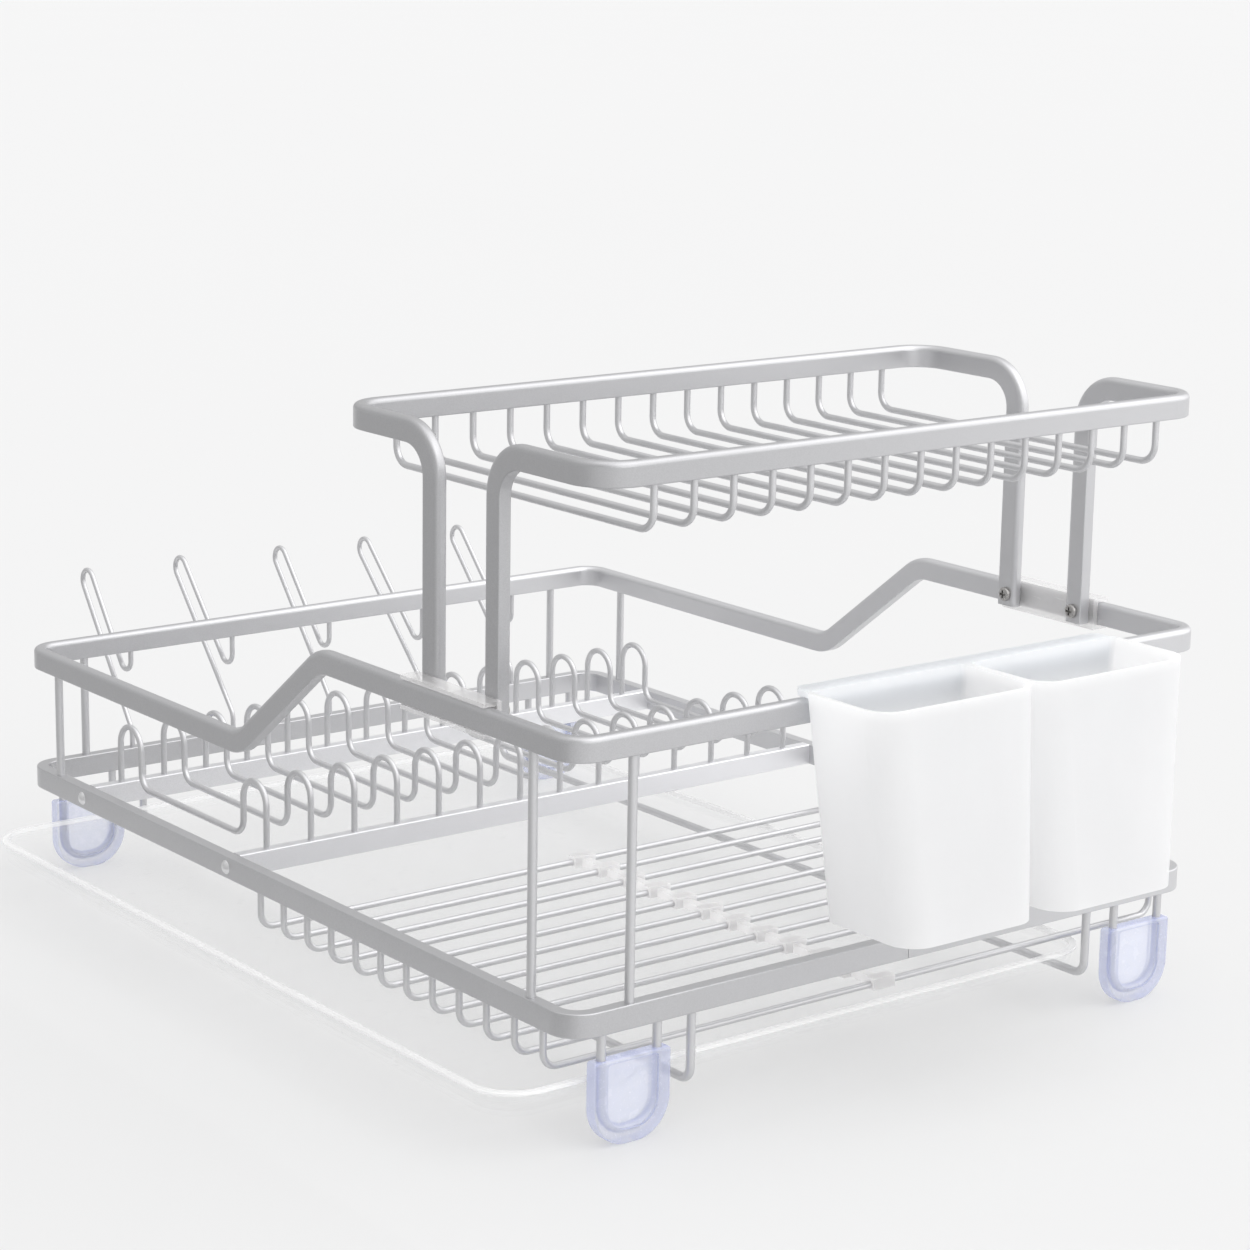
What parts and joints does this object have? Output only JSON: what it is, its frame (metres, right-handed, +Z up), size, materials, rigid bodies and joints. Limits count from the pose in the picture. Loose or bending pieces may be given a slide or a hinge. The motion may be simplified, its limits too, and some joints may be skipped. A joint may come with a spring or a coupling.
{
  "type": "dish drying rack",
  "caption": "Two-tier dish drying rack with an aluminium bar frame, plate and base wires, mug hooks, an upper shelf, a slide-out drip tray and a lift-off cutlery holder.",
  "frame": {"origin": "middle of the overall footprint, at worktop level", "axes": "+Z up; +Y towards the mug hooks, along the long sides; -X towards the side where the drip tray slides out"},
  "size_m": [0.3856, 0.5766, 0.28],
  "materials": {
    "aluminium": "satin anodised",
    "rivet_metal": "satin",
    "screw_steel": "satin",
    "clear_plastic": "gloss, clear",
    "tray_plastic": "gloss, translucent",
    "frosted_plastic": "frosted, translucent",
    "foot_vinyl": "soft clear vinyl with a blue tint"
  },
  "bodies": {
    "rack_frame": {"lower_rail": "aluminium", "upper_rim_rail": "aluminium", "rear_plate_bar": "aluminium", "front_plate_bar": "aluminium", "plate_bar_rivets": "rivet_metal", "corner_posts_front_left": "aluminium", "foot_wire_front_left": "aluminium", "foot_cover_front_left": "foot_vinyl", "corner_posts_front_right": "aluminium", "foot_wire_front_right": "aluminium", "foot_cover_front_right": "foot_vinyl", "corner_posts_rear_left": "aluminium", "foot_wire_rear_left": "aluminium", "foot_cover_rear_left": "foot_vinyl", "corner_posts_rear_right": "aluminium", "foot_wire_rear_right": "aluminium", "foot_cover_rear_right": "foot_vinyl", "tray_support_wire_left": "aluminium", "tray_support_wire_right": "aluminium", "plate_wire_01": "aluminium", "plate_wire_02": "aluminium", "plate_wire_03": "aluminium", "plate_wire_04": "aluminium", "plate_wire_05": "aluminium", "plate_wire_06": "aluminium", "plate_wire_07": "aluminium", "plate_wire_08": "aluminium", "plate_wire_09": "aluminium", "plate_wire_10": "aluminium", "plate_wire_11": "aluminium", "plate_wire_12": "aluminium", "plate_wire_13": "aluminium", "plate_wire_14": "aluminium", "base_wire_01": "aluminium", "base_wire_02": "aluminium", "base_wire_03": "aluminium", "base_wire_04": "aluminium", "base_wire_05": "aluminium", "base_wire_06": "aluminium", "base_wire_07": "aluminium", "base_wire_08": "aluminium", "base_wire_09": "aluminium", "base_wire_10": "aluminium", "base_wire_11": "aluminium", "base_wire_12": "aluminium", "wire_spacer_strip": "clear_plastic", "mug_hook_1": "aluminium", "mug_hook_2": "aluminium", "mug_hook_3": "aluminium", "mug_hook_4": "aluminium", "mug_hook_5": "aluminium"},
    "drip_tray": {"drip_tray": "tray_plastic"},
    "utensil_holder": {"utensil_holder": "frosted_plastic"},
    "upper_shelf": {"shelf_front_bar": "aluminium", "shelf_rear_bar": "aluminium", "shelf_wires": "aluminium", "saddle_screws": "screw_steel", "shelf_saddle_left": "clear_plastic", "shelf_saddle_right": "clear_plastic"}
  },
  "joints": [
    {"name": "tray_slide", "type": "slide", "parent": "rack_frame", "child": "drip_tray", "axis": [-1, 0, 0], "range_m": [0, 0.34]},
    {"name": "holder_lift", "type": "slide", "parent": "rack_frame", "child": "utensil_holder", "axis": [0, 0, 1], "range_m": [0, 0.06]},
    {"name": "shelf_slide", "type": "slide", "parent": "rack_frame", "child": "upper_shelf", "axis": [0, 1, 0], "range_m": [-0.02, 0.03]}
  ]
}
